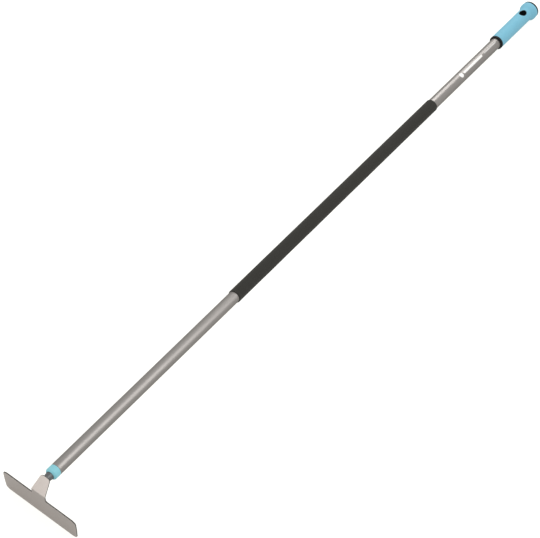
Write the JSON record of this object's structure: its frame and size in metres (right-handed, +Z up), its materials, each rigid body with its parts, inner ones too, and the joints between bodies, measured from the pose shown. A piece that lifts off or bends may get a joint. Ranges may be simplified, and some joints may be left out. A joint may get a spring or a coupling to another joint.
{
  "type": "draw hoe",
  "caption": "Long-handled draw hoe: a stamped steel blade on a bent neck, an aluminium tube handle with a foam sleeve, and a flared plastic grip with a hanging hole.",
  "frame": {"origin": "floor point under the middle of the tool's box, as it lies on its cutting edge and the flare of its grip", "axes": "+X from the blade towards the grip, +Z up, +Y across the blade; the handle slopes 3.3 degrees down towards the grip"},
  "size_m": [1.7188, 0.1652, 0.1294],
  "materials": {
    "head_steel": "satin, faint mill grain, ground edge",
    "weld_steel": "rippled weld with heat tint",
    "collar_steel": "dark grey satin",
    "tang_steel": "drawn bar",
    "ferrule_plastic": "light blue, fine moulded texture",
    "plug_nylon": "natural nylon",
    "pin_steel": "zinc plated",
    "tube_aluminium": "satin silver anodised",
    "sleeve_foam": "matt closed-cell foam",
    "end_plug_plastic": "moulded",
    "core_plastic": "hard black, low gloss",
    "grip_rubber": "light blue soft-touch",
    "eyelet_plastic": "hard black",
    "cap_plastic": "hard black, low gloss"
  },
  "bodies": {
    "root": {"hoe_plate": "head_steel", "weld_bead": "weld_steel", "tang_collar": "collar_steel", "tang_rod": "tang_steel", "ferrule": "ferrule_plastic", "tang_plug": "plug_nylon", "head_pin": "pin_steel", "handle_tube": "tube_aluminium", "foam_sleeve": "sleeve_foam", "tube_end_plug": "end_plug_plastic", "grip_core": "core_plastic", "grip_overmould": "grip_rubber", "hang_eyelet": "eyelet_plastic", "grip_end_cap": "cap_plastic"}
  },
  "joints": []
}
